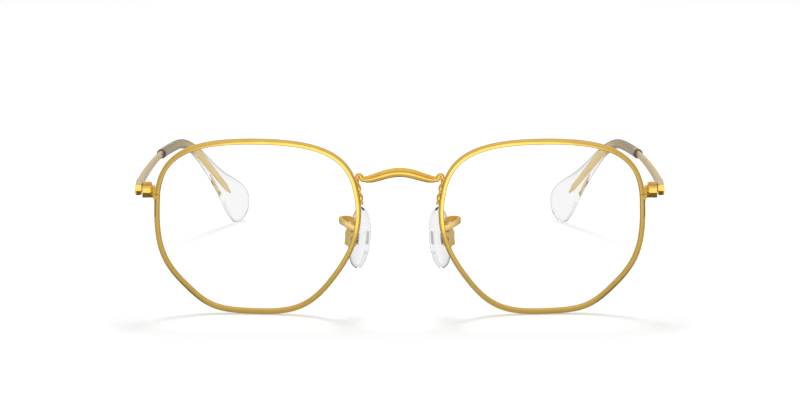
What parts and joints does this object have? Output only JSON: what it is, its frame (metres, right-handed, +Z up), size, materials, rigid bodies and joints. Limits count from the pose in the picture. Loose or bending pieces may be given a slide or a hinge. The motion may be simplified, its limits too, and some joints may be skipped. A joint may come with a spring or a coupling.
{
  "type": "hexagonal eyeglasses",
  "caption": "Hexagonal gold wire eyeglasses with clear lenses, screw-hinged folding temples, clear temple tips and adjustable clear nose pads, standing open.",
  "frame": {"origin": "on the table under the middle of the open, standing eyeglasses", "axes": "+X to the wearer's left, +Y backwards along the temples, +Z up; the front looks along -Y"},
  "size_m": [0.1354, 0.1379, 0.0454],
  "materials": {
    "gold_rim": "polished gold plating",
    "gold_bridge": "polished gold plating",
    "gold_blocks": "polished gold plating",
    "gold_hinges": "polished gold plating",
    "gold_temples": "polished gold plating",
    "gold_pad_arms": "polished gold plating",
    "screws": "fine turned, plated",
    "pad_lugs": "polished nickel",
    "lens_clear": "clear, polished",
    "tip_clear": "clear acetate, polished",
    "pad_clear": "clear vinyl, satin to glossy"
  },
  "bodies": {
    "front": {"rim_left": "gold_rim", "rim_right": "gold_rim", "lens_left": "lens_clear", "lens_right": "lens_clear", "bridge": "gold_bridge", "block_upper_left": "gold_blocks", "block_upper_right": "gold_blocks", "block_lower_left": "gold_blocks", "block_lower_right": "gold_blocks", "closing_screw_left": "screws", "closing_screw_right": "screws", "hinge_front_left": "gold_hinges", "hinge_front_right": "gold_hinges", "hinge_screw_left": "screws", "hinge_screw_right": "screws", "pad_arm_left": "gold_pad_arms", "pad_arm_right": "gold_pad_arms", "pad_box_left": "gold_pad_arms", "pad_box_right": "gold_pad_arms", "pad_screw_left": "screws", "pad_screw_right": "screws"},
    "left_temple": {"hinge_rear_left": "gold_hinges", "temple_left": "gold_temples", "temple_tip_left": "tip_clear"},
    "right_temple": {"hinge_rear_right": "gold_hinges", "temple_right": "gold_temples", "temple_tip_right": "tip_clear"},
    "left_nose_pad": {"pad_lug_left": "pad_lugs", "nose_pad_left": "pad_clear"},
    "right_nose_pad": {"pad_lug_right": "pad_lugs", "nose_pad_right": "pad_clear"}
  },
  "joints": [
    {"name": "left_temple_fold", "type": "hinge", "parent": "front", "child": "left_temple", "pos_m": [0.06357, -0.05891, 0.0316], "axis": [0, 0.0351, 0.9994], "range_deg": [0, 82]},
    {"name": "right_temple_fold", "type": "hinge", "parent": "front", "child": "right_temple", "pos_m": [-0.06357, -0.05891, 0.0316], "axis": [0, -0.0351, -0.9994], "range_deg": [0, 73.5]},
    {"name": "left_pad_rock", "type": "hinge", "parent": "front", "child": "left_nose_pad", "pos_m": [0.01223, -0.05964, 0.01876], "axis": [0.4677, 0.876, 0.1177], "range_deg": [-8, 8]},
    {"name": "right_pad_rock", "type": "hinge", "parent": "front", "child": "right_nose_pad", "pos_m": [-0.01223, -0.05964, 0.01876], "axis": [0.4677, -0.876, -0.1177], "range_deg": [-8, 8]}
  ]
}
